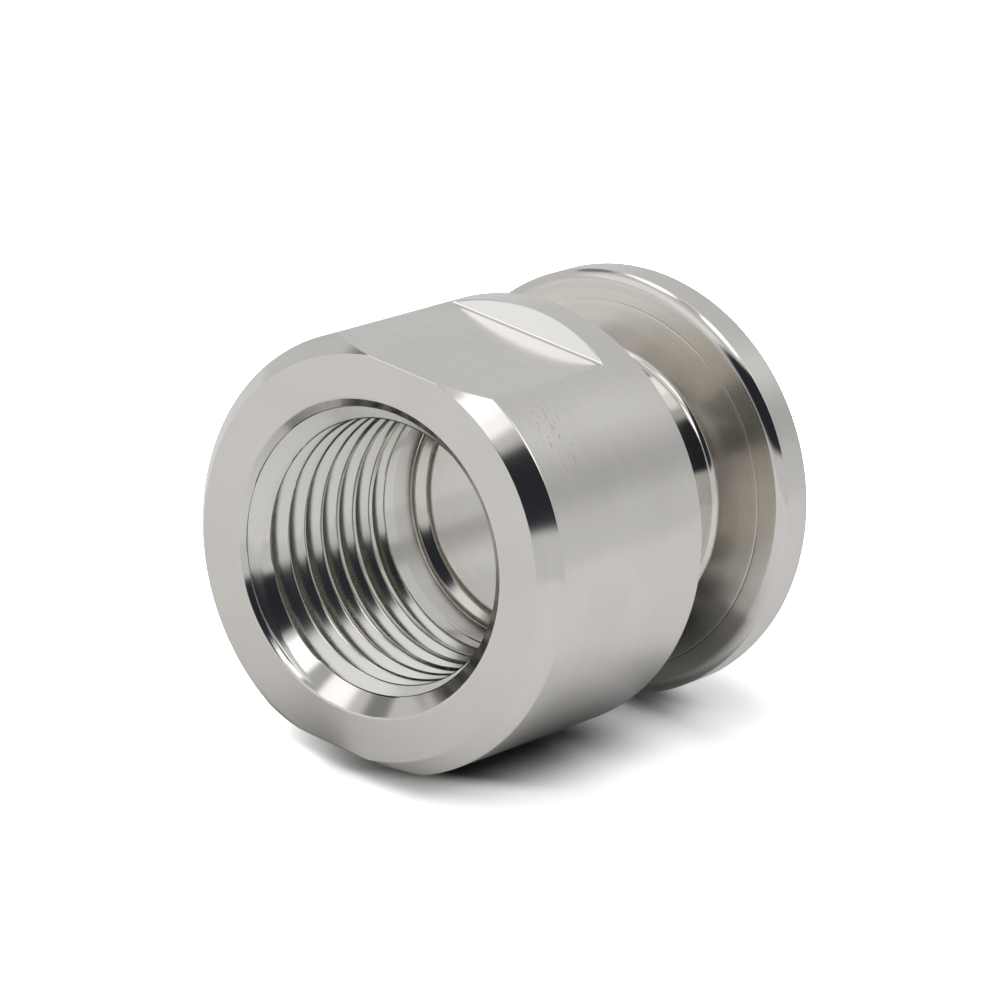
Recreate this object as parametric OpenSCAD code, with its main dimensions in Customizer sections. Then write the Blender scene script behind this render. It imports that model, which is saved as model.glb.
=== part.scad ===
// Vacuum clamp flange to female pipe thread adapter, turned from one steel bar.
// The bore axis lies along Y: the sealing face is at Y = 0, the threaded port faces -Y
// and the two wrench flats face up and down. The helical thread itself is not drawn:
// the port is its tap drill hole.

/* [Clamp flange] */
// Outside diameter of the clamp flange
flange_d = 30; // [28:0.5:34]
// Axial length of the straight rim
rim_l = 2.45; // [1.5:0.05:3.5]
// Radius of the polished, rounded corner between the rim and the clamp taper
rim_round_r = 1.5; // [1.3:0.1:3]
// Radial size of the same corner
rim_round_w = 0.75; // [0.3:0.05:0.9]
// Angle of the clamp taper, measured from the sealing face
taper_angle = 15; // [10:1:20]
// Diameter of the recess for the centring ring
recess_d = 17.2; // [16.8:0.1:18.5]
// Depth of the recess for the centring ring
recess_depth = 3; // [2.6:0.1:3.6]

/* [Neck] */
// Outside diameter of the neck between the flange and the body
neck_d = 20; // [19.6:0.2:22]
// Radius of the fillets at both ends of the neck
neck_fillet = 0.5; // [0.3:0.1:1]
// Distance from the sealing face to the back of the body
body_start = 12.7; // [10:0.1:16]

/* [Body] */
// Diameter of the body
body_d = 30; // [29:0.5:34]
// Length of the body
body_l = 17.3; // [16:0.1:24]
// Radial size of the polished chamfer round the port face
face_chamfer_w = 1.25; // [0.4:0.05:1.6]
// Axial size of the same chamfer
face_chamfer_l = 1.4; // [0.4:0.05:1.8]

/* [Wrench flats] */
// Distance across the two flats
flats_across = 27; // [25.5:0.5:28.5]
// Length of each flat, from the port face
flat_l = 14; // [10:0.2:15.2]
// Lean of the flat's end wall away from square
end_wall_angle = 27; // [0:1:40]
// Radius of the fillet between the flat and its end wall
flat_corner_r = 0.3; // [0.1:0.1:0.6]

/* [Gas path] */
// Diameter of the bore through the neck
bore_d = 16.2; // [12:0.1:16.4]

/* [Threaded port] */
// Diameter of the tap drill hole
tap_drill_d = 18.2; // [17.6:0.1:18.8]
// Depth of the tap drill hole at its full diameter, from the port face
port_depth = 17.2; // [13.6:0.1:17.8]
// Full angle of the cone that the drill's point leaves at the bottom
drill_point_angle = 118; // [90:1:140]
// Diameter of the countersink at the port face
countersink_d = 21.6; // [19.6:0.1:23]
// Angle of the countersink's wall, measured from the bore axis
countersink_angle = 45; // [40:1:60]

/* [Edges] */
// Size of the small edge breaks
edge_break = 0.15; // [0.05:0.05:0.25]

/* [Hidden] */
$fn = 192;

steel = [0.74, 0.73, 0.71];
cut_over = 1;
total_l = body_start + body_l;
flange_r = flange_d / 2;
neck_r = neck_d / 2;
body_r = body_d / 2;
bore_r = bore_d / 2;
tap_drill_r = tap_drill_d / 2;
flat_h = flats_across / 2;

// The rounded corner runs off the clamp taper and meets the rim at an edge.
round_end_angle = asin(sin(taper_angle) + rim_round_w / rim_round_r);
rim_round_l = rim_round_r * (cos(taper_angle) - cos(round_end_angle));

// The clamp taper starts at the rounded corner and runs down to the neck.
taper_r = flange_r - rim_round_w;
taper_y = rim_l + rim_round_l;
taper_end_y = taper_y + (taper_r - neck_r) * tan(taper_angle);

// Half of a turned section: first value is the radius, second the distance
// from the sealing face.
module blank_section() {
    polygon([
        [0, 0],
        [flange_r - edge_break, 0],
        [flange_r, edge_break],
        [flange_r, rim_l],
        [taper_r, taper_y],
        [neck_r, taper_end_y],
        [neck_r, body_start],
        [body_r - edge_break, body_start],
        [body_r, body_start + edge_break],
        [body_r, total_l - face_chamfer_l],
        [body_r - face_chamfer_w, total_l],
        [0, total_l]
    ]);
}

// Bulge of the rounded corner outside the straight line from rim to taper.
module rim_round_section() {
    centre = [taper_r, taper_y] - rim_round_r * [sin(taper_angle), cos(taper_angle)];
    intersection() {
        polygon([[flange_r, rim_l], [flange_r, taper_y], [taper_r, taper_y]]);
        translate(centre) circle(r = rim_round_r);
    }
}

// Fillet between the neck and the clamp taper.
module flange_fillet_section() {
    lift = neck_fillet * (1 / cos(taper_angle) - tan(taper_angle));
    centre = [neck_r + neck_fillet, taper_end_y + lift];
    touch = centre - neck_fillet * [sin(taper_angle), cos(taper_angle)];
    difference() {
        polygon([[neck_r, taper_end_y], touch, centre, [neck_r, centre[1]]]);
        translate(centre) circle(r = neck_fillet);
    }
}

// Fillet between the neck and the back of the body.
module body_fillet_section() {
    centre = [neck_r + neck_fillet, body_start - neck_fillet];
    difference() {
        translate([neck_r, centre[1]]) square(neck_fillet);
        translate(centre) circle(r = neck_fillet);
    }
}

// The bar after turning: clamp flange, neck and body.
module turned_blank() {
    rotate_extrude() {
        blank_section();
        rim_round_section();
        flange_fillet_section();
        body_fillet_section();
    }
}

// Side view of the metal milled away over a flat: first value is the height
// over the axis, second the distance from the sealing face.
module flat_section() {
    corner = [flat_h, total_l - flat_l];
    top_h = body_r + cut_over;
    top_y = corner[1] - (top_h - flat_h) * tan(end_wall_angle);
    lift = flat_corner_r * (1 / cos(end_wall_angle) - tan(end_wall_angle));
    centre = corner + [flat_corner_r, lift];
    touch = centre - flat_corner_r * [sin(end_wall_angle), cos(end_wall_angle)];
    polygon([[flat_h, total_l + cut_over], [flat_h, centre[1]], centre, touch,
        [top_h, top_y], [top_h, total_l + cut_over]]);
    translate(centre) circle(r = flat_corner_r);
}

// One wrench flat, milled from the port face to a leaning end wall.
module flat_cut() {
    translate([-body_r, 0, 0]) rotate([90, 0, 90])
        linear_extrude(height = body_d) flat_section();
}

// Recess for the centring ring, open at the sealing face.
module centring_recess() {
    translate([0, 0, -cut_over]) cylinder(d = recess_d, h = recess_depth + cut_over);
    cylinder(r1 = recess_d / 2 + edge_break, r2 = recess_d / 2, h = edge_break);
}

// Smooth bore from the recess to the drilled port.
module gas_bore() {
    cylinder(d = bore_d, h = total_l);
}

// Tap drill hole with the cone at its bottom and the countersink round its mouth.
module port_hole() {
    sink_w = (countersink_d - tap_drill_d) / 2;
    sink_l = sink_w / tan(countersink_angle);
    point_l = (tap_drill_r - bore_r) / tan(drill_point_angle / 2);
    translate([0, 0, total_l - port_depth]) cylinder(d = tap_drill_d, h = port_depth + cut_over);
    translate([0, 0, total_l - port_depth - point_l]) cylinder(d1 = bore_d, d2 = tap_drill_d, h = point_l);
    translate([0, 0, total_l - sink_l]) cylinder(d1 = tap_drill_d, d2 = countersink_d, h = sink_l);
}

module adapter() {
    color(steel)
    rotate([90, 0, 0])
    difference() {
        turned_blank();
        for (side = [0, 180]) rotate([0, 0, side]) flat_cut();
        centring_recess();
        gas_bore();
        port_hole();
    }
}

adapter();
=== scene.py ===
import math

import bmesh
import bpy
from mathutils import Matrix, Vector


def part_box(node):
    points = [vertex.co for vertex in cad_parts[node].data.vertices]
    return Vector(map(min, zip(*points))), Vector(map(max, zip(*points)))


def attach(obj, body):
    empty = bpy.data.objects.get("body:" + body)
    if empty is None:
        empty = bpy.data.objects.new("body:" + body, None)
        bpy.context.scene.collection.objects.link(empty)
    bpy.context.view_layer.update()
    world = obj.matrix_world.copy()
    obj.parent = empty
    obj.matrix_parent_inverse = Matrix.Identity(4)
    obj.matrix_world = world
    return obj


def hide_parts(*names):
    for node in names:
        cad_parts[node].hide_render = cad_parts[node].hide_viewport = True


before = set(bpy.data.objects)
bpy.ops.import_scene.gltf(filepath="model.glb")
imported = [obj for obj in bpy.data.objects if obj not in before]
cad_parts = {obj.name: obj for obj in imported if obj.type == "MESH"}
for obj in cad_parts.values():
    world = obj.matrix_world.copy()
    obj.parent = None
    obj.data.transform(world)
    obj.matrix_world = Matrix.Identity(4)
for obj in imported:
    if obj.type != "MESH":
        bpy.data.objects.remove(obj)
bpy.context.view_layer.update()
mm = 0.001
partLow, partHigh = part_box("adapter")
print("frame loaded")

# Lengths in millimetres. "along" is the distance from the sealing face, towards the port.
totalLength = (partHigh[1] - partLow[1]) / mm
outerRadius = (partHigh[0] - partLow[0]) / 2 / mm

flange = {
    "rimLength": 2.45,
    "cornerRadius": 1.5,       # rounded corner between the rim and the clamp taper
    "cornerWidth": 0.75,
    "taperAngle": 15,
    "recessRadius": 8.6,
    "recessDepth": 3,
    "neckRadius": 10,
    "neckFillet": 0.5,
    "toolLine": 13.05,         # radius of a fine line that the tool left on the taper
    "toolLineWidth": 0.07,
    "toolLineDepth": 0.012,
}

body = {
    "start": 12.7,
    "chamferWidth": 1.25,
    "chamferLength": 1.4,
    "flatHalfWidth": 13.5,
    "flatLength": 14,
    "endWallAngle": 27,
    "flatFillet": 0.3,
    "wallTopShare": 0.4,       # share of an end wall that the rings at its top and foot may take
    "wallFootShare": 0.55,
}

gasPath = {
    "boreRadius": 8.1,
    "drillRadius": 9.1,
    "drillDepth": 17.2,
    "drillPointAngle": 118,
    "drillCorner": 0.5,        # small roundings the tool left at both ends of the cone
    "boreCorner": 0.6,
}

thread = {
    "pitch": 1.8143,
    "rootRadius": 10.53,       # at the port face
    "taperPerSide": 1 / 32,
    "rootBlunt": 0.15,
    "flankSlope": math.sqrt(3),      # 60 degree thread
    "firstRoot": 28.459,       # place of a root at angle 0
    "fadeStart": 13.2,         # from the port face
    "fadeEnd": 14.8,
    "stop": 15,
    "mouthRadius": 10.8,
    "rowsPerPitch": 28,
    "rowSpread": 0.8,          # 1 for even rows, less for rows closer together near the root
    "sparePitches": 3,         # at both ends of the helix
    "halvings": 12,            # in the search for a corner of the section
}

edges = {
    "turnedBreak": 0.15,
    "fineBreak": 0.05,
    "chamferBreak": 0.2,       # where the chamfer meets the round body
    "support": 0.06,           # rings beside a rounding, so that flat stretches shade flat
    "arcSteps": 4,
    "wideRounding": 0.3,       # from this radius on a rounding has more steps
    "wideArcSteps": 12,
    "longestSetback": 0.4,     # share of a stretch that a rounding may take
    "longestSupport": 0.3,     # share of a stretch that a support ring may take
    "besideFlat": 2.5,         # in roundings, from a flat's edge to the next column on both sides
    "chamferRings": 10,
    "bodyRings": 3,
    "faceRings": 6,
    "closingRings": 4,         # rings inside the recess that turn to the outside's columns
    "mergeDistance": 0.0004,
}

# Strips in a quarter turn: beside a flat, at its edge and on it. At the edge there are always 3.
columns = {"side": 41, "edge": 3, "flat": 16}
quarterColumns = sum(columns.values())
columnCount = 4 * quarterColumns
tiny = 0.001
flatStart = totalLength - body["flatLength"]
wallLean = math.radians(body["endWallAngle"])
flatBegin = flatStart + body["flatFillet"] * (1 / math.cos(wallLean) - math.tan(wallLean))
wallTop = flatStart - (outerRadius - body["flatHalfWidth"]) * math.tan(wallLean)
zoneNames = []


def zoneIndex(name):
    if name not in zoneNames:
        zoneNames.append(name)
    return zoneNames.index(name)


def flatEdgeAngle(radius):
    # angle from the middle of a flat to its edge
    return math.acos(min(1, body["flatHalfWidth"] / radius))


def warpedAngles(edgeAngle):
    # column angles round the axis, with columns just beside each edge of the flats
    step = edges["fineBreak"] / outerRadius
    edge = math.pi / 2 - edgeAngle
    sideEnd = edge - edges["besideFlat"] * step
    flatFirst = edge + edges["besideFlat"] * step
    quarter = [sideEnd * i / columns["side"] for i in range(columns["side"] + 1)]
    quarter += [edge - step, edge + step]
    flatStep = (math.pi / 2 - flatFirst) / columns["flat"]
    quarter += [flatFirst + flatStep * i for i in range(columns["flat"] + 1)]
    half = quarter[:-1] + [math.pi - a for a in reversed(quarter)][:-1]
    return half + [a + math.pi for a in half]


def evenAngles():
    return [2 * math.pi * i / columnCount for i in range(columnCount)]


def columnOnFlat(i):
    # the strip between columns i and i + 1 lies on a flat
    place = i % (2 * quarterColumns)
    first = columns["side"] + columns["edge"] - 1
    return first <= place < 2 * quarterColumns - first


def roundedPath(corners):
    # corners: (radius, along, rounding, zone of the stretch after it, zone of the rounding).
    # Each corner becomes an arc with a support ring on both sides.
    points = []
    for i in range(len(corners)):
        radius, along, rounding, zone = corners[i][:4]
        roundZone = corners[i][4] if len(corners[i]) > 4 else "edge"
        here = Vector((radius, along))
        if i == 0 or i == len(corners) - 1 or not rounding:
            points.append((radius, along, zone))
            continue
        before = Vector(corners[i - 1][:2]) - here
        after = Vector(corners[i + 1][:2]) - here
        beforeLength, afterLength = before.length, after.length
        before.normalize()
        after.normalize()
        half = before.angle(after) / 2
        longest = edges["longestSetback"] * min(beforeLength, afterLength)
        setback = min(rounding / math.tan(half), longest)
        centre = here + (before + after).normalized() * (setback / math.cos(half))
        first = here + before * setback - centre
        last = here + after * setback - centre
        sweep = first.angle(last)
        support = min(edges["support"], edges["longestSupport"] * beforeLength)
        point = here + before * (setback + support)
        points.append((point.x, point.y, corners[i - 1][3]))
        steps = edges["arcSteps" if rounding < edges["wideRounding"] else "wideArcSteps"]
        for k in range(steps + 1):
            a = math.sin(sweep * (1 - k / steps)) / math.sin(sweep)
            b = math.sin(sweep * k / steps) / math.sin(sweep)
            point = centre + first * a + last * b
            points.append((point.x, point.y, roundZone if k < steps else zone))
        support = min(edges["support"], edges["longestSupport"] * afterLength)
        point = here + after * (setback + support)
        points.append((point.x, point.y, zone))
    return points


def divided(points, zone, count):
    # adds rings along the one stretch that has this zone
    result = []
    for i in range(len(points) - 1):
        result.append(points[i])
        long = math.dist(points[i][:2], points[i + 1][:2]) > 2 * edges["support"]
        if points[i][2] == zone and long:
            for k in range(1, count):
                share = k / count
                result.append((
                    points[i][0] + (points[i + 1][0] - points[i][0]) * share,
                    points[i][1] + (points[i + 1][1] - points[i][1]) * share,
                    zone,
                ))
    return result + [points[-1]]


def cornerArc():
    # the rounded corner from the rim to the start of the taper, leaving out its first point
    radius, taper = flange["cornerRadius"], math.radians(flange["taperAngle"])
    endAngle = math.asin(math.sin(taper) + flange["cornerWidth"] / radius)
    centre = Vector((
        outerRadius - radius * math.sin(endAngle),
        flange["rimLength"] - radius * math.cos(endAngle),
    ))
    steps = edges["wideArcSteps"]
    points = []
    for k in range(1, steps + 1):
        turn = endAngle + (taper - endAngle) * k / steps
        point = centre + Vector((math.sin(turn), math.cos(turn))) * radius
        points.append((point.x, point.y, 0, "rimCorner" if k < steps else "taper"))
    return points


def backRings():
    # sealing face, rim, taper, neck and the round body up to the wall of the flats
    arc = cornerArc()
    taperRadius, taperStart = arc[-1][:2]
    rise = math.tan(math.radians(flange["taperAngle"]))

    def onTaper(radius, depth=0):
        return (radius, taperStart + (taperRadius - radius) * rise - depth, 0, "taper")

    fine, turned, support = edges["fineBreak"], edges["turnedBreak"], edges["support"]
    line, lineWidth = flange["toolLine"], flange["toolLineWidth"]
    path = roundedPath([
        (flange["recessRadius"], edges["turnedBreak"] * 2, 0, "recess"),
        (flange["recessRadius"], 0, turned, "sealingFace"),
        (outerRadius, 0, turned, "rim"),
        (outerRadius, flange["rimLength"], fine, "rimCorner"),
        *arc,
        onTaper(taperRadius - support),
        onTaper(line + lineWidth / 2 + support),
        onTaper(line + lineWidth / 2),
        onTaper(line, flange["toolLineDepth"]),
        onTaper(line - lineWidth / 2),
        onTaper(line - lineWidth / 2 - support),
        (*onTaper(flange["neckRadius"])[:2], flange["neckFillet"], "neck", "fillet"),
        (flange["neckRadius"], body["start"], flange["neckFillet"], "bodyBack", "backCorner"),
        (outerRadius, body["start"], turned, "body"),
        (outerRadius, wallTop - fine - 2 * support, 0, "body"),
    ])
    angles = warpedAngles(flatEdgeAngle(outerRadius))
    rings, zones = [], []
    for radius, along, zone in path:
        rings.append([(radius, along, a) for a in angles])
        zones.append((zone, zone))
    return rings, zones


def flatRadius(radius, angle, halfWidth):
    return min(radius, halfWidth / max(abs(math.sin(angle)), tiny))


def wallAlong(height):
    # where the end wall of a flat, or the fillet under it, stands at this height over the flat
    fillet = body["flatFillet"]
    if height >= fillet * (1 - math.sin(wallLean)):
        return flatStart - height * math.tan(wallLean)
    swing = math.acos(1 - height / fillet)
    return flatBegin - fillet * math.sin(swing)


def wallRings():
    # the leaning wall where each flat ends: across the flats its rings run down from the body's
    # surface to the flat, and elsewhere they lie on the body
    angles = warpedAngles(flatEdgeAngle(outerRadius))
    half, fillet = body["flatHalfWidth"], body["flatFillet"]
    fine, support = edges["fineBreak"], edges["support"]
    topShare, footShare = body["wallTopShare"], body["wallFootShare"]
    touch = fillet * (1 - math.sin(wallLean))
    rings, zones = [], []

    def addRing(drop, height, shift, zone):
        # drop: depth below the body's surface. height: over the flat. shift: away from the wall.
        ring = []
        for a in angles:
            rise = abs(math.sin(a))
            full = max(0, outerRadius * rise - half)
            if height is None:
                level = full - min(drop, topShare * full * drop / (fine + support))
            else:
                level = min(height, footShare * full * height / (touch + support))
            radius = (half + level) / rise if full else outerRadius
            ring.append((radius, wallAlong(level) + shift, a))
        rings.append(ring)
        zones.append(("body", zone))

    addRing(0, None, -fine - support, "body")
    addRing(0, None, -fine, "edge")
    addRing(fine, None, 0, "wall")
    addRing(fine + support, None, 0, "wall")
    addRing(0, touch + support, 0, "wall")
    steps = 2 * edges["arcSteps"]
    for k in range(steps + 1):
        swing = (math.pi / 2 - wallLean) * (1 - k / steps)
        addRing(0, fillet * (1 - math.cos(swing)), 0, "corner")
    zones[-1] = ("body", "flat")
    addRing(0, 0, support, "flat")
    return rings, zones


def frontRings():
    # body and flats as far as the port face, and the chamfer round it
    faceRadius = outerRadius - body["chamferWidth"]
    chamferStart = totalLength - body["chamferLength"]
    fine = edges["fineBreak"]
    begin = flatBegin + 2 * edges["support"]
    # the last corner only gives the edge before it its direction
    path = roundedPath([
        (outerRadius, begin, 0, "body"),
        (outerRadius, chamferStart, edges["chamferBreak"], "chamfer"),
        (faceRadius, totalLength, fine, "portFace"),
        (faceRadius - 1, totalLength, 0, "portFace"),
    ])[:-1]
    path = divided(path, "chamfer", edges["chamferRings"])
    path = divided(path, "body", edges["bodyRings"])
    rings, zones = [], []
    for radius, along, zone in path:
        # the flats' own outer edge is broken like the chamfer's
        over = max(0, along - (totalLength - fine))
        onFace = along > totalLength - tiny
        inward = fine if onFace else over
        if onFace:
            inward += max(0, faceRadius - fine - radius)
        half = body["flatHalfWidth"] - inward
        edgeAngle = math.acos(min(1, half / max(radius, half)))
        angles = warpedAngles(edgeAngle)
        rings.append([(flatRadius(radius, a, half), along, a) for a in angles])
        zones.append((zone, "flat" if zone in ("body", "chamfer") else zone))
    return rings, zones


def portFaceRings(outerRing):
    # the flat ring round the mouth: column angles even out from the rim to the hole
    mouth = thread["mouthRadius"] + edges["fineBreak"]
    last = mouth + edges["support"]
    rings, zones = [], []
    for k in range(1, edges["faceRings"] + 1):
        share = k / edges["faceRings"]
        ring = []
        for (radius, along, angle), even in zip(outerRing, evenAngles()):
            nearer = radius + (last - radius) * share
            ring.append((nearer, totalLength, angle + (even - angle) * share))
        rings.append(ring)
        zones.append(("portFace", "portFace"))
    rings.append([(mouth, totalLength, a) for a in evenAngles()])
    zones.append(("edge", "edge"))
    return rings, zones


def threadRadii(along, angle):
    # radius of each surface that meets in the port at this place: drill, countersink, groove
    turn = thread["pitch"] * angle / (2 * math.pi)
    nearest = round((along - thread["firstRoot"] - turn) / thread["pitch"])
    groove = 0
    for n in (nearest - 1, nearest, nearest + 1):
        root = thread["firstRoot"] + turn + n * thread["pitch"]
        depth = totalLength - root
        radius = thread["rootRadius"] - depth * thread["taperPerSide"]
        fadeLength = thread["fadeEnd"] - thread["fadeStart"]
        fade = max(0, depth - thread["fadeStart"]) / fadeLength
        radius -= fade * (radius - gasPath["drillRadius"])
        blunt = thread["rootBlunt"]
        flank = math.hypot(blunt, (along - root) * thread["flankSlope"])
        groove = max(groove, radius + blunt - flank)
    cone = thread["mouthRadius"] - (totalLength - along)
    return gasPath["drillRadius"], cone, groove


def threadOffsets():
    # rows at the same places in every pitch, closer together near the root
    count, spread, spare = thread["rowsPerPitch"], thread["rowSpread"], thread["sparePitches"]
    inPitch = []
    for i in range(count):
        share = 2 * i / count - 1
        inPitch.append((spread * share + (1 - spread) * share**3) * thread["pitch"] / 2)
    top, bottom = spare, -int(thread["stop"] / thread["pitch"]) - spare
    rows = [n * thread["pitch"] + o for n in range(bottom, top) for o in inPitch]
    return sorted(rows, reverse=True)


def threadColumn(angle, rows, top, stop):
    # one column of the threaded hole: rows follow the helix, and a row near a corner of the
    # section is moved onto it
    turn = thread["pitch"] * angle / (2 * math.pi)
    places = [min(top, max(stop, thread["firstRoot"] + turn + o)) for o in rows]
    radii = [threadRadii(a, angle) for a in places]
    winner = [r.index(max(r)) for r in radii]
    moved = set()
    for k in range(len(places) - 1):
        if winner[k] == winner[k + 1] or places[k] == places[k + 1]:
            continue
        first, second = winner[k], winner[k + 1]
        high, low = places[k], places[k + 1]
        for _ in range(thread["halvings"]):
            middle = (high + low) / 2
            r = threadRadii(middle, angle)
            if r[first] > r[second]:
                high = middle
            else:
                low = middle
        near = k if places[k] - high < low - places[k + 1] else k + 1
        if near in moved or places[near] in (top, stop):
            continue
        moved.add(near)
        places[near] = high
    return [(max(threadRadii(a, angle)), a, angle) for a in places]


def insideRings():
    # the drilled hole behind the thread, the cone at its bottom, bore and recess
    drillEnd = totalLength - gasPath["drillDepth"]
    drill, bore = gasPath["drillRadius"], gasPath["boreRadius"]
    pointLength = (drill - bore) / math.tan(math.radians(gasPath["drillPointAngle"] / 2))
    fine = edges["fineBreak"]
    path = roundedPath([
        (drill, totalLength - thread["stop"], 0, "bore"),
        (drill, drillEnd, gasPath["drillCorner"], "drillPoint", "drillPoint"),
        (bore, drillEnd - pointLength, gasPath["boreCorner"], "bore", "drillPoint"),
        (bore, flange["recessDepth"], fine, "recess"),
        (flange["recessRadius"], flange["recessDepth"], fine, "recess"),
        (flange["recessRadius"], edges["turnedBreak"] * 2, 0, "recess"),
    ])
    outside = warpedAngles(flatEdgeAngle(outerRadius))
    closing = edges["closingRings"]
    rings, zones = [], []
    for k, (radius, along, zone) in enumerate(path):
        # the last rings turn to the columns of the outside, where the loop closes
        share = max(0, k - len(path) + 1 + closing) / closing
        rings.append([(radius, along, a + (b - a) * share) for a, b in zip(evenAngles(), outside)])
        zones.append((zone, zone))
    return rings, zones


def buildAdapter():
    vertices, faces, faceZones = [], [], []

    def addRing(ring):
        start = len(vertices)
        for radius, along, angle in ring:
            x, z = radius * math.cos(angle), radius * math.sin(angle)
            vertices.append((x * mm, -along * mm, z * mm))
        return start

    def joinRings(first, second, zonePair):
        for i in range(columnCount):
            j = (i + 1) % columnCount
            faces.append((first + i, first + j, second + j, second + i))
            faceZones.append(zoneIndex(zonePair[1] if columnOnFlat(i) else zonePair[0]))

    outside, zones = backRings()
    for part in (wallRings(), frontRings()):
        outside += part[0]
        zones += part[1]
    part = portFaceRings(outside[-1])
    outside += part[0]
    zones += part[1]
    starts = [addRing(ring) for ring in outside]
    for k in range(len(starts) - 1):
        joinRings(starts[k], starts[k + 1], zones[k])
    print("outside turned:", len(starts), "rings")

    top = totalLength - edges["fineBreak"]
    stop = totalLength - thread["stop"]
    rows = threadOffsets()
    grid = [threadColumn(a, rows, top, stop) for a in evenAngles()]
    rowCount = len(rows)
    threadStart = len(vertices)
    for column in grid:
        addRing(column)

    def index(row, i):
        return threadStart + i * rowCount + max(0, min(rowCount - 1, row))

    for i in range(columnCount):
        wrap = thread["rowsPerPitch"] if i == columnCount - 1 else 0
        j = (i + 1) % columnCount
        for k in range(-wrap, rowCount - 1 + wrap):
            corners = (index(k, i), index(k - wrap, j), index(k + 1 - wrap, j), index(k + 1, i))
            faces.append(corners)
            if 0 <= k < rowCount - 1:
                middle = (grid[i][k][1] + grid[i][k + 1][1]) / 2
                r = threadRadii(middle, grid[i][k][2])
                faceZones.append(zoneIndex("countersink" if r[1] == max(r) else "thread"))
            else:
                faceZones.append(zoneIndex("thread"))
    joinRings(starts[-1], addRing([grid[i][0] for i in range(columnCount)]), ("edge", "edge"))
    print("thread cut:", rowCount, "rows")

    inside, zones = insideRings()
    insideStarts = [addRing(ring) for ring in inside]
    for k in range(len(insideStarts) - 1):
        joinRings(insideStarts[k], insideStarts[k + 1], zones[k])
    joinRings(insideStarts[-1], starts[0], zones[-1])
    print("inside bored:", len(insideStarts), "rings")

    mesh = bpy.data.meshes.new("turned_adapter")
    mesh.from_pydata(vertices, [], faces)
    mesh.polygons.foreach_set("material_index", faceZones)
    shape = bmesh.new()
    shape.from_mesh(mesh)
    bmesh.ops.remove_doubles(shape, verts=shape.verts, dist=edges["mergeDistance"] * mm)
    bmesh.ops.recalc_face_normals(shape, faces=shape.faces)
    openEdges = [e for e in shape.edges if len(e.link_faces) != 2]
    for face in shape.faces:
        face.smooth = True
    triangles = sum(len(f.verts) - 2 for f in shape.faces)
    shape.to_mesh(mesh)
    shape.free()
    adapter = bpy.data.objects.new("turned_adapter", mesh)
    bpy.context.collection.objects.link(adapter)
    print("adapter made:", triangles, "triangles,", len(openEdges), "open edges")
    return adapter


adapter = buildAdapter()
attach(adapter, "root")
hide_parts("adapter")


def nodeIn(tree, kind, **settings):
    node = tree.nodes.new("ShaderNode" + kind)
    for name, value in settings.items():
        setattr(node, name, value)
    return node


def mathIn(tree, operation, first, second=None, third=None):
    node = nodeIn(tree, "Math", operation=operation)
    for socket, value in zip(node.inputs, (first, second, third)):
        if value is None:
            continue
        if isinstance(value, bpy.types.NodeSocket):
            tree.links.new(value, socket)
        else:
            socket.default_value = value
    return node.outputs[0]


def grey(level):
    return (level, level, level, 1)


def smoothRange(tree, value, start, end, low=0, high=1):
    # low up to start, high from end on, with a soft step between
    spread = nodeIn(tree, "MapRange", interpolation_type="SMOOTHSTEP")
    spread.inputs["From Min"].default_value = start
    spread.inputs["From Max"].default_value = end
    spread.inputs["To Min"].default_value = low
    spread.inputs["To Max"].default_value = high
    tree.links.new(value, spread.inputs["Value"])
    return spread.outputs[0]


def newGroup(name, inputs, outputs):
    group = bpy.data.node_groups.new(name, "ShaderNodeTree")
    for label, kind, value in inputs:
        socket = group.interface.new_socket(name=label, in_out="INPUT", socket_type=kind)
        socket.default_value = value
    for label, kind in outputs:
        group.interface.new_socket(name=label, in_out="OUTPUT", socket_type=kind)
    return group, group.nodes.new("NodeGroupInput"), group.nodes.new("NodeGroupOutput")


turning = {
    "bandScale": 0.9,
    "bandDetail": 3,
    "bandRoughness": 0.6,
    "bandAmount": 0.04,        # how much lighter and darker the bands are, unless a finish says it
    "markHeight": 0.1,         # height of the feed marks, as a share of their spacing
}


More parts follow.
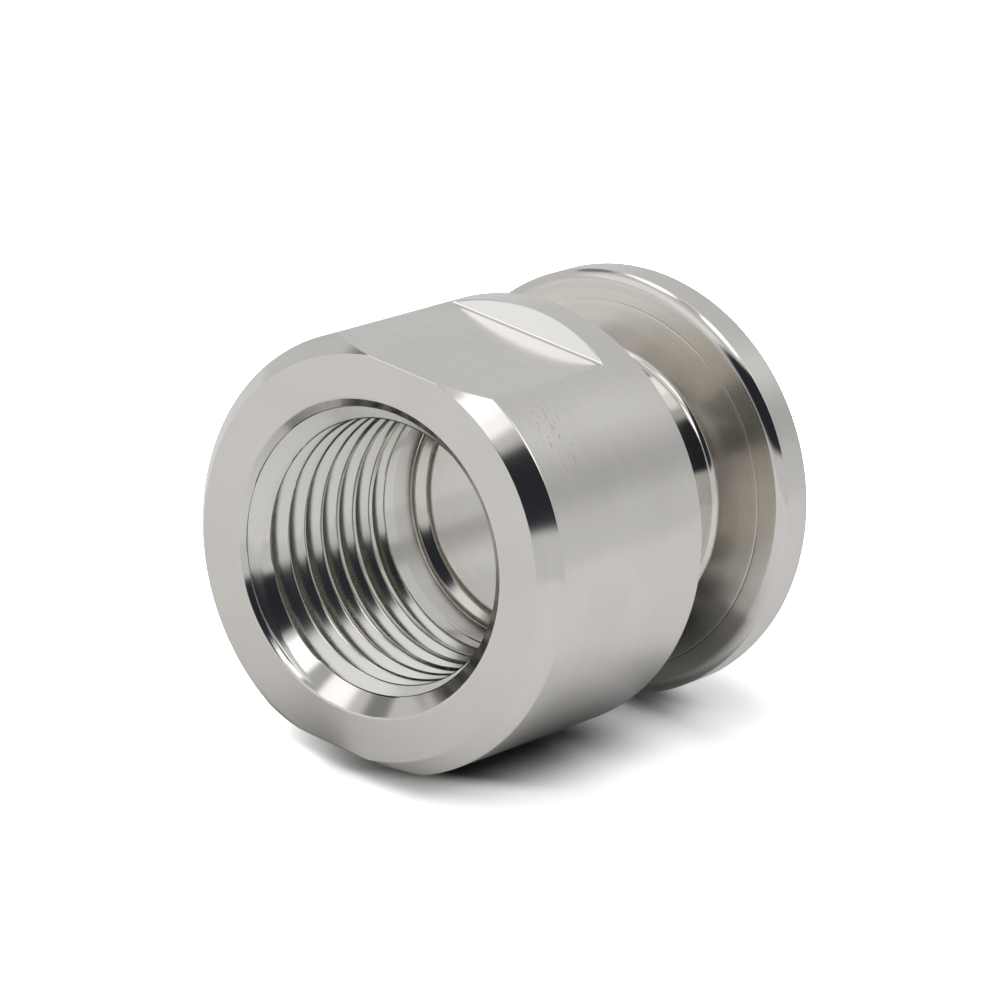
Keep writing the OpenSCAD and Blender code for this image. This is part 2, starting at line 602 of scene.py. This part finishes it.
def makeTurningMarks():
    # Rings left by the lathe tool, from the distance along the tool's path in millimetres.
    # Fine is the height of single feed marks, Bands the slow change from one cut to the next, and
    # Radius the distance from the bore axis in millimetres.
    group, source, result = newGroup(
        "turningMarks",
        [
            ("Across", "NodeSocketFloat", 0.0),
            ("Along", "NodeSocketFloat", 1.0),
            ("Feed", "NodeSocketFloat", 0.1),
        ],
        [
            ("Fine", "NodeSocketFloat"),
            ("Bands", "NodeSocketFloat"),
            ("Radius", "NodeSocketFloat"),
        ],
    )
    place = nodeIn(group, "TexCoord")
    parts = nodeIn(group, "SeparateXYZ")
    group.links.new(place.outputs["Object"], parts.inputs[0])
    x2 = mathIn(group, "MULTIPLY", parts.outputs["X"], parts.outputs["X"])
    z2 = mathIn(group, "MULTIPLY", parts.outputs["Z"], parts.outputs["Z"])
    radius = mathIn(group, "SQRT", mathIn(group, "ADD", x2, z2))
    across = mathIn(group, "MULTIPLY", radius, source.outputs["Across"])
    along = mathIn(group, "MULTIPLY", parts.outputs["Y"], source.outputs["Along"])
    path = mathIn(group, "MULTIPLY", mathIn(group, "ADD", across, along), 1 / mm)
    fine = nodeIn(group, "TexNoise", noise_dimensions="1D")
    fine.inputs["Scale"].default_value = 1
    fine.inputs["Detail"].default_value = 1
    group.links.new(mathIn(group, "DIVIDE", path, source.outputs["Feed"]), fine.inputs["W"])
    bands = nodeIn(group, "TexNoise", noise_dimensions="1D")
    bands.inputs["Scale"].default_value = turning["bandScale"]
    bands.inputs["Detail"].default_value = turning["bandDetail"]
    bands.inputs["Roughness"].default_value = turning["bandRoughness"]
    group.links.new(path, bands.inputs["W"])
    group.links.new(fine.outputs[0], result.inputs["Fine"])
    group.links.new(bands.outputs[0], result.inputs["Bands"])
    group.links.new(mathIn(group, "MULTIPLY", radius, 1 / mm), result.inputs["Radius"])
    return group


handling = {
    "smudgeSize": 6.0,         # millimetres
    "smudgeRange": (0.3, 0.75),      # levels of the noise between which a mark fades in
    "smudgeDetail": 1,
    "smudgeDepth": 0.04,       # how much darker a smudge is
    "scuffSize": 0.5,
    "scuffRange": (0.54, 0.74),
    "scuffDetail": 3,
    "scuffTurn": (0.25, math.radians(51), 0),    # picks the piece of the noise beside the port
    "scuffStretch": (1, 1.6, 0.4),               # a larger number makes scuffs shorter that way
}


def makeHandlingMarks():
    # Soft smudges from fingers, and small scuffs that are longest upwards.
    group, source, result = newGroup(
        "handlingMarks",
        [
            ("Smudge Size", "NodeSocketFloat", handling["smudgeSize"]),
            ("Scuff Size", "NodeSocketFloat", handling["scuffSize"]),
        ],
        [("Smudge", "NodeSocketFloat"), ("Scuff", "NodeSocketFloat")],
    )
    place = nodeIn(group, "TexCoord")
    turned = nodeIn(group, "Mapping", vector_type="POINT")
    turned.inputs["Rotation"].default_value = handling["scuffTurn"]
    turned.inputs["Scale"].default_value = handling["scuffStretch"]
    group.links.new(place.outputs["Object"], turned.inputs["Vector"])
    for label, where in (("Smudge", place.outputs["Object"]), ("Scuff", turned.outputs["Vector"])):
        kind = label.lower()
        scale = mathIn(group, "DIVIDE", 1 / mm, source.outputs[label + " Size"])
        noise = nodeIn(group, "TexNoise")
        noise.inputs["Detail"].default_value = handling[kind + "Detail"]
        group.links.new(where, noise.inputs["Vector"])
        group.links.new(scale, noise.inputs["Scale"])
        mark = smoothRange(group, noise.outputs[0], *handling[kind + "Range"])
        group.links.new(mark, result.inputs[label])
    return group


turningMarks = makeTurningMarks()
handlingMarks = makeHandlingMarks()

# One entry for each surface of the adapter. Colours are linear. stretch is how far the highlight
# is drawn out. across and along say how the tool moved, feed is the spacing of its marks in
# millimetres, and depth how strongly they show.
steelTone = (0.72, 0.7, 0.675)
finishes = {
    "sealingFace": {
        "roughness": 0.25, "stretch": 0.8, "across": 1, "along": 0, "feed": 0.12, "depth": 0.2,
    },
    "rim": {"roughness": 0.26, "stretch": 0.8, "across": 0, "along": 1, "feed": 0.1, "depth": 0.1},
    "rimCorner": {
        "roughness": 0.09, "stretch": 0.3, "across": 1, "along": 0, "feed": 0.08, "depth": 0,
    },
    # the taper's colour is painted darker towards the neck: painted shade in the corner by the neck
    "taper": {
        "tone": (0.74, 0.712, 0.66), "roughness": 0.18, "stretch": 0.85, "across": 1, "along": 0,
        "feed": 0.14, "depth": 0.03, "bands": 0.12, "innerRoughness": 0.1, "paintedNeckShade": 0.86,
        "innerRadius": 10.4, "outerRadius": 12.6,
    },
    "fillet": {
        "tone": (0.74, 0.72, 0.69), "roughness": 0.1, "stretch": 0, "across": 0, "along": 1,
        "feed": 0.12, "depth": 0,
    },
    # the corner between neck and body has a much darker tone: painted shade in that crease
    "backCorner": {
        "tone": (0.45, 0.43, 0.4), "roughness": 0.35, "stretch": 0, "across": 0, "along": 1,
        "feed": 0.12, "depth": 0,
    },
    "neck": {
        "tone": (0.78, 0.77, 0.75), "roughness": 0.08, "stretch": 0.5, "across": 0, "along": 1,
        "feed": 0.12, "depth": 0,
    },
    "bodyBack": {
        "tone": (0.74, 0.715, 0.675), "roughness": 0.12, "stretch": 0.8, "across": 1, "along": 0,
        "feed": 0.12, "depth": 0.05,
    },
    "body": {
        "roughness": 0.24, "stretch": 0.7, "across": 0, "along": 1, "feed": 0.08, "depth": 0.06,
        "bands": 0.03, "smear": 0.4, "smearPlace": (9.6, -25.3, 11.4), "smearReach": 3.4,
    },
    "edge": {"roughness": 0.1, "stretch": 0, "across": 0.7, "along": 0.7, "feed": 0.05, "depth": 0},
    "chamfer": {
        "roughness": 0.12, "stretch": 0, "across": 0.7, "along": 0.7, "feed": 0.06, "depth": 0,
    },
    "flat": {"roughness": 0.15, "stretch": 0.5, "across": 0, "along": 1, "feed": 0.2, "depth": 0},
    # the end wall of a flat and its fillet have a lighter tone than the other steel: painted light
    # that brightens them and their reflection in the flat
    "wall": {
        "tone": (0.83, 0.815, 0.795), "roughness": 0.08, "stretch": 0, "across": 0, "along": 0,
        "feed": 0.2, "depth": 0,
    },
    "corner": {
        "tone": (0.85, 0.84, 0.82), "roughness": 0.08, "stretch": 0, "across": 0, "along": 0,
        "feed": 0.2, "depth": 0,
    },
    "portFace": {
        "tone": (0.72, 0.7, 0.66), "roughness": 0.24, "stretch": 0.6, "across": 1, "along": 0,
        "feed": 0.12, "depth": 0.08, "bands": 0.04,
    },
    "countersink": {
        "roughness": 0.12, "stretch": 0.4, "across": -0.7, "along": 0.7, "feed": 0.07, "depth": 0,
    },
    "thread": {
        "tone": (0.73, 0.722, 0.68), "roughness": 0.15, "stretch": 0.4, "across": 1, "along": 0,
        "feed": 0.1, "depth": 0,
    },
    "drillPoint": {
        "tone": (0.7, 0.675, 0.62), "roughness": 0.13, "stretch": 0.5, "across": 1, "along": 0,
        "feed": 0.1, "depth": 0,
    },
    "bore": {
        "tone": (0.72, 0.7, 0.665), "roughness": 0.22, "stretch": 0.7, "across": 0, "along": 1,
        "feed": 0.15, "depth": 0.06,
    },
    "recess": {
        "roughness": 0.2, "stretch": 0.7, "across": 0, "along": 1, "feed": 0.12, "depth": 0.1,
    },
}


def makeSteel(name, finish):
    material = bpy.data.materials.new(name)
    material.use_nodes = True
    tree = material.node_tree
    tree.nodes.clear()
    shader = nodeIn(tree, "BsdfPrincipled")
    result = nodeIn(tree, "OutputMaterial")
    tree.links.new(shader.outputs[0], result.inputs["Surface"])
    shader.inputs["Metallic"].default_value = 1
    tone = finish.get("tone", steelTone)

    marks = nodeIn(tree, "Group", node_tree=turningMarks)
    marks.inputs["Across"].default_value = finish["across"]
    marks.inputs["Along"].default_value = finish["along"]
    marks.inputs["Feed"].default_value = finish["feed"]
    wear = nodeIn(tree, "Group", node_tree=handlingMarks)

    amount = finish.get("bands", turning["bandAmount"])
    colour = nodeIn(tree, "Mix", data_type="RGBA")
    colour.inputs["A"].default_value = (*[c * (1 - amount) for c in tone], 1)
    colour.inputs["B"].default_value = (*[min(1, c * (1 + amount)) for c in tone], 1)
    tree.links.new(marks.outputs["Bands"], colour.inputs["Factor"])
    shade = mathIn(tree, "MULTIPLY_ADD", wear.outputs["Smudge"], -handling["smudgeDepth"], 1)
    if "smear" in finish:
        # a few grey smears beside the port face
        place = nodeIn(tree, "TexCoord")
        away = nodeIn(tree, "VectorMath", operation="DISTANCE")
        tree.links.new(place.outputs["Object"], away.inputs[0])
        away.inputs[1].default_value = [v * mm for v in finish["smearPlace"]]
        spot = smoothRange(tree, away.outputs["Value"], finish["smearReach"] * mm, 0)
        smear = mathIn(tree, "MULTIPLY", wear.outputs["Scuff"], spot)
        smear = mathIn(tree, "MULTIPLY_ADD", smear, -finish["smear"], 1)
        shade = mathIn(tree, "MULTIPLY", shade, smear)
    shader.inputs["Roughness"].default_value = finish["roughness"]
    if "innerRadius" in finish:
        # painted shade: darker towards the neck, and smoother there
        limits = (finish["innerRadius"], finish["outerRadius"])
        inner = smoothRange(tree, marks.outputs["Radius"], *limits, finish["paintedNeckShade"], 1)
        shade = mathIn(tree, "MULTIPLY", shade, inner)
        ends = (finish["innerRoughness"], finish["roughness"])
        rough = smoothRange(tree, marks.outputs["Radius"], *limits, *ends)
        tree.links.new(rough, shader.inputs["Roughness"])
    shaded = nodeIn(tree, "VectorMath", operation="SCALE")
    tree.links.new(colour.outputs["Result"], shaded.inputs[0])
    tree.links.new(shade, shaded.inputs["Scale"])
    tree.links.new(shaded.outputs[0], shader.inputs["Base Color"])

    # the marks run round the axis, so the highlight is drawn out a quarter turn from them
    shader.inputs["Anisotropic"].default_value = finish["stretch"]
    shader.inputs["Anisotropic Rotation"].default_value = 0.25
    grain = nodeIn(tree, "Tangent", direction_type="RADIAL", axis="Y")
    tree.links.new(grain.outputs[0], shader.inputs["Tangent"])

    if finish["depth"]:
        bump = nodeIn(tree, "Bump")
        bump.inputs["Strength"].default_value = finish["depth"]
        bump.inputs["Distance"].default_value = finish["feed"] * mm * turning["markHeight"]
        tree.links.new(marks.outputs["Fine"], bump.inputs["Height"])
        tree.links.new(bump.outputs[0], shader.inputs["Normal"])
    return material


for zone in zoneNames:
    adapter.data.materials.append(makeSteel(zone + "Steel", finishes[zone]))
print("steel finishes made:", len(zoneNames))

studio = {
    "light": 0.67,
    "backdrop": 1.0,
    "floorTone": 0.85,
    "floorLift": 2.7,          # times the tone for the camera, so that the open floor is white
    "paintedLeftLight": 2.0,           # times that on the left: painted light that lightens the part's shadow where the photo's floor falls away from the part
    "leftStart": 2,            # millimetres across, where that begins and is complete
    "leftFull": -6,
    "floorGloss": 0.14,        # share of the lift that the metal mirrors
    "floorSize": 4.0,          # metres
    "squareness": 3,           # of the patches: 2 is an ellipse, more is nearer a rectangle
}

# The photo's floor rises close under the part's right side. The level floor has painted contact
# shadow there instead: darker strips, in millimetres: each one's middle line, reach to both sides,
# and between which places its ends fade. depth is how dark the painted shadow gets, and slant how
# far its front end moves back for each millimetre to the right. One set is painted shadow for the
# camera and one for what the metal mirrors.
paintedFloorShadow = {
    "seen": [
        {
            "middle": 5.3, "reach": 7.5, "depth": 0.97,
            "front": (-32.3, -28.6), "back": (-1.5, -11), "slant": 1,
        },
        {"middle": 5, "reach": 14, "depth": 0.56, "front": (-6, 0), "back": (15, 4), "slant": 0},
        {"middle": 4.5, "reach": 5, "depth": 0.9, "front": (-3, 0), "back": (5, 1), "slant": 0},
    ],
    "mirrored": [
        {
            "middle": 4.5, "reach": 18, "depth": 0.97,
            "front": (-33.5, -30.5), "back": (4, -14), "slant": 1,
        },
        {"middle": 9, "reach": 14, "depth": 0.65, "front": (-7, -3.5), "back": (6, 0), "slant": 0},
    ],
}

# Patches of the studio that the metal reflects: where each lies, its turn about its middle, half
# its width and height, all in degrees, how much of that is soft edge, and its brightness
patchTerms = ("azimuth", "elevation", "turn", "width", "height", "soft", "level")
studioPatches = [dict(zip(patchTerms, values)) for values in (
    (2, 89, 0, 20, 29, 0.36, 0.85),
    (118, 54, 0, 30, 14, 0.3, 1.7),
    (-33, 6, 0, 30, 10, 0.55, 0.8),
    (-26, 29, -4, 34, 14, 0.37, 0.95),
    (-22, 58, 0, 7, 4, 0.3, 0.46),
    (11, 59, 0, 12, 11, 0.2, 1.65),
    (32, 61, 0, 8, 5.5, 0.4, 1.3),
    (-57, 56, 0, 16, 8.5, 0.2, 1.45),
    (-76, 37, 0, 11, 9, 0.5, 0.25),
    (-153, 4, 0, 20, 9, 0.6, 0.8),
    (160, 23, 0, 40, 6, 0.4, 0.4),
    (42, 33, 17, 55, 19, 0.22, 0.026),
)]
studioPatches[-1]["tint"] = (0.85, 0.97, 1.25)


def patchMask(tree, direction, patch):
    azimuth, elevation = math.radians(patch["azimuth"]), math.radians(patch["elevation"])
    towards = Vector((
        math.sin(azimuth) * math.cos(elevation),
        -math.cos(azimuth) * math.cos(elevation),
        math.sin(elevation),
    ))
    right = Vector((math.cos(azimuth), math.sin(azimuth), 0))
    up = right.cross(-towards)
    turn = Matrix.Rotation(math.radians(patch["turn"]), 3, towards)
    right, up = turn @ right, turn @ up
    power = studio["squareness"]
    shares = []
    for axis, size in ((right, patch["width"]), (up, patch["height"])):
        dot = nodeIn(tree, "VectorMath", operation="DOT_PRODUCT")
        tree.links.new(direction, dot.inputs[0])
        dot.inputs[1].default_value = axis
        scaled = mathIn(tree, "DIVIDE", dot.outputs["Value"], math.sin(math.radians(size)))
        shares.append(mathIn(tree, "POWER", mathIn(tree, "ABSOLUTE", scaled), power))
    reach = mathIn(tree, "POWER", mathIn(tree, "ADD", *shares), 1 / power)
    edge = smoothRange(tree, reach, 1, 1 - patch["soft"])
    front = nodeIn(tree, "VectorMath", operation="DOT_PRODUCT")
    tree.links.new(direction, front.inputs[0])
    front.inputs[1].default_value = towards
    facing = mathIn(tree, "GREATER_THAN", front.outputs["Value"], 0)
    return mathIn(tree, "MULTIPLY", edge, facing)


def makeStudio():
    world = bpy.data.worlds.new("studio")
    bpy.context.scene.world = world
    world.use_nodes = True
    tree = world.node_tree
    tree.nodes.clear()
    place = nodeIn(tree, "TexCoord")
    direction = place.outputs["Generated"]
    light = studio["light"]
    for patch in studioPatches:
        mix = nodeIn(tree, "Mix", data_type="RGBA")
        tree.links.new(patchMask(tree, direction, patch), mix.inputs["Factor"])
        if isinstance(light, bpy.types.NodeSocket):
            tree.links.new(light, mix.inputs["A"])
        else:
            mix.inputs["A"].default_value = grey(light)
        tint = patch.get("tint", (1, 1, 1))
        mix.inputs["B"].default_value = (*[patch["level"] * t for t in tint], 1)
        light = mix.outputs["Result"]
    rays = nodeIn(tree, "LightPath")
    seen = nodeIn(tree, "Mix", data_type="RGBA")
    tree.links.new(rays.outputs["Is Camera Ray"], seen.inputs["Factor"])
    tree.links.new(light, seen.inputs["A"])
    seen.inputs["B"].default_value = grey(studio["backdrop"])
    background = nodeIn(tree, "Background")
    tree.links.new(seen.outputs["Result"], background.inputs["Color"])
    result = nodeIn(tree, "OutputWorld")
    tree.links.new(background.outputs[0], result.inputs["Surface"])


def paintedShadowUnderPart(tree, strips):
    # 1 on the open floor, less on the strips of painted shadow under the part. Also gives out x in
    # millimetres.
    place = nodeIn(tree, "TexCoord")
    parts = nodeIn(tree, "SeparateXYZ")
    tree.links.new(place.outputs["Object"], parts.inputs[0])
    x = mathIn(tree, "DIVIDE", parts.outputs["X"], mm)
    y = mathIn(tree, "DIVIDE", parts.outputs["Y"], mm)
    shade = 1
    for strip in strips:
        away = mathIn(tree, "ABSOLUTE", mathIn(tree, "SUBTRACT", x, strip["middle"]))
        side = smoothRange(tree, away, strip["reach"], 0)
        slanted = mathIn(tree, "SUBTRACT", y, mathIn(tree, "MULTIPLY", x, strip["slant"]))
        front = smoothRange(tree, slanted, *strip["front"])
        back = smoothRange(tree, y, *strip["back"])
        dark = mathIn(tree, "MULTIPLY", side, mathIn(tree, "MULTIPLY", front, back))
        kept = mathIn(tree, "MULTIPLY_ADD", dark, -strip["depth"], 1)
        shade = mathIn(tree, "MULTIPLY", kept, shade)
    return shade, x


def makeFloor():
    half = studio["floorSize"] / 2
    mesh = bpy.data.meshes.new("studio_floor")
    z = partLow[2]
    corners = [(-half, -half, z), (half, -half, z), (half, half, z), (-half, half, z)]
    mesh.from_pydata(corners, [], [(0, 1, 2, 3)])
    floor = bpy.data.objects.new("studio_floor", mesh)
    bpy.context.collection.objects.link(floor)
    material = bpy.data.materials.new("paleFloor")
    material.use_nodes = True
    tree = material.node_tree
    tree.nodes.clear()
    rays = nodeIn(tree, "LightPath")
    tone = nodeIn(tree, "Mix", data_type="RGBA")
    camera = rays.outputs["Is Camera Ray"]
    gloss = mathIn(tree, "MULTIPLY", rays.outputs["Is Glossy Ray"], studio["floorGloss"])
    share = mathIn(tree, "ADD", camera, gloss)
    tree.links.new(share, tone.inputs["Factor"])
    tone.inputs["A"].default_value = grey(studio["floorTone"])
    tone.inputs["B"].default_value = grey(studio["floorTone"] * studio["floorLift"])
    shaded = nodeIn(tree, "VectorMath", operation="SCALE")
    tree.links.new(tone.outputs["Result"], shaded.inputs[0])
    # painted shadow under the part: one set of strips for the camera, one for what the metal
    # mirrors
    mirrored = paintedShadowUnderPart(tree, paintedFloorShadow["mirrored"])[0]
    seen, x = paintedShadowUnderPart(tree, paintedFloorShadow["seen"])
    # painted light: the floor the camera sees, and the shadow on it, lighter on the left
    left = smoothRange(tree, x, studio["leftStart"], studio["leftFull"], 1, studio["paintedLeftLight"])
    seen = mathIn(tree, "MULTIPLY", seen, left)
    shade = nodeIn(tree, "Mix", data_type="FLOAT")
    tree.links.new(camera, shade.inputs["Factor"])
    tree.links.new(mirrored, shade.inputs["A"])
    tree.links.new(seen, shade.inputs["B"])
    tree.links.new(shade.outputs["Result"], shaded.inputs["Scale"])
    shader = nodeIn(tree, "BsdfDiffuse")
    tree.links.new(shaded.outputs[0], shader.inputs["Color"])
    result = nodeIn(tree, "OutputMaterial")
    tree.links.new(shader.outputs[0], result.inputs["Surface"])
    floor.data.materials.append(material)


makeStudio()
makeFloor()
print("studio made")

view = {
    "azimuth": 32.94,          # degrees, from straight in front of the port
    "elevation": 20.36,
    "roll": 10.7,
    "distance": 463.93,        # millimetres
    "aim": (-6.43, -5.54, -3.1),
    "lens": 240.2,
    "sensor": 36,
    "nearest": 0.01,           # metres
}


def makeCamera():
    azimuth, elevation = math.radians(view["azimuth"]), math.radians(view["elevation"])
    back = Vector((
        math.sin(azimuth) * math.cos(elevation),
        -math.cos(azimuth) * math.cos(elevation),
        math.sin(elevation),
    ))
    right = Vector((0, 0, 1)).cross(back).normalized()
    up = back.cross(right)
    roll = Matrix.Rotation(math.radians(view["roll"]), 3, back)
    right, up = roll @ right, roll @ up
    data = bpy.data.cameras.new("camera")
    data.lens = view["lens"]
    data.sensor_width = view["sensor"]
    data.clip_start = view["nearest"]
    camera = bpy.data.objects.new("camera", data)
    bpy.context.collection.objects.link(camera)
    turn = Matrix((right, up, back)).transposed().to_4x4()
    place = (Vector(view["aim"]) + back * view["distance"]) * mm
    camera.matrix_world = Matrix.Translation(place) @ turn
    bpy.context.scene.camera = camera


makeCamera()
bpy.context.scene.view_settings.view_transform = "Standard"
print("camera placed")

bpy.context.view_layer.update()
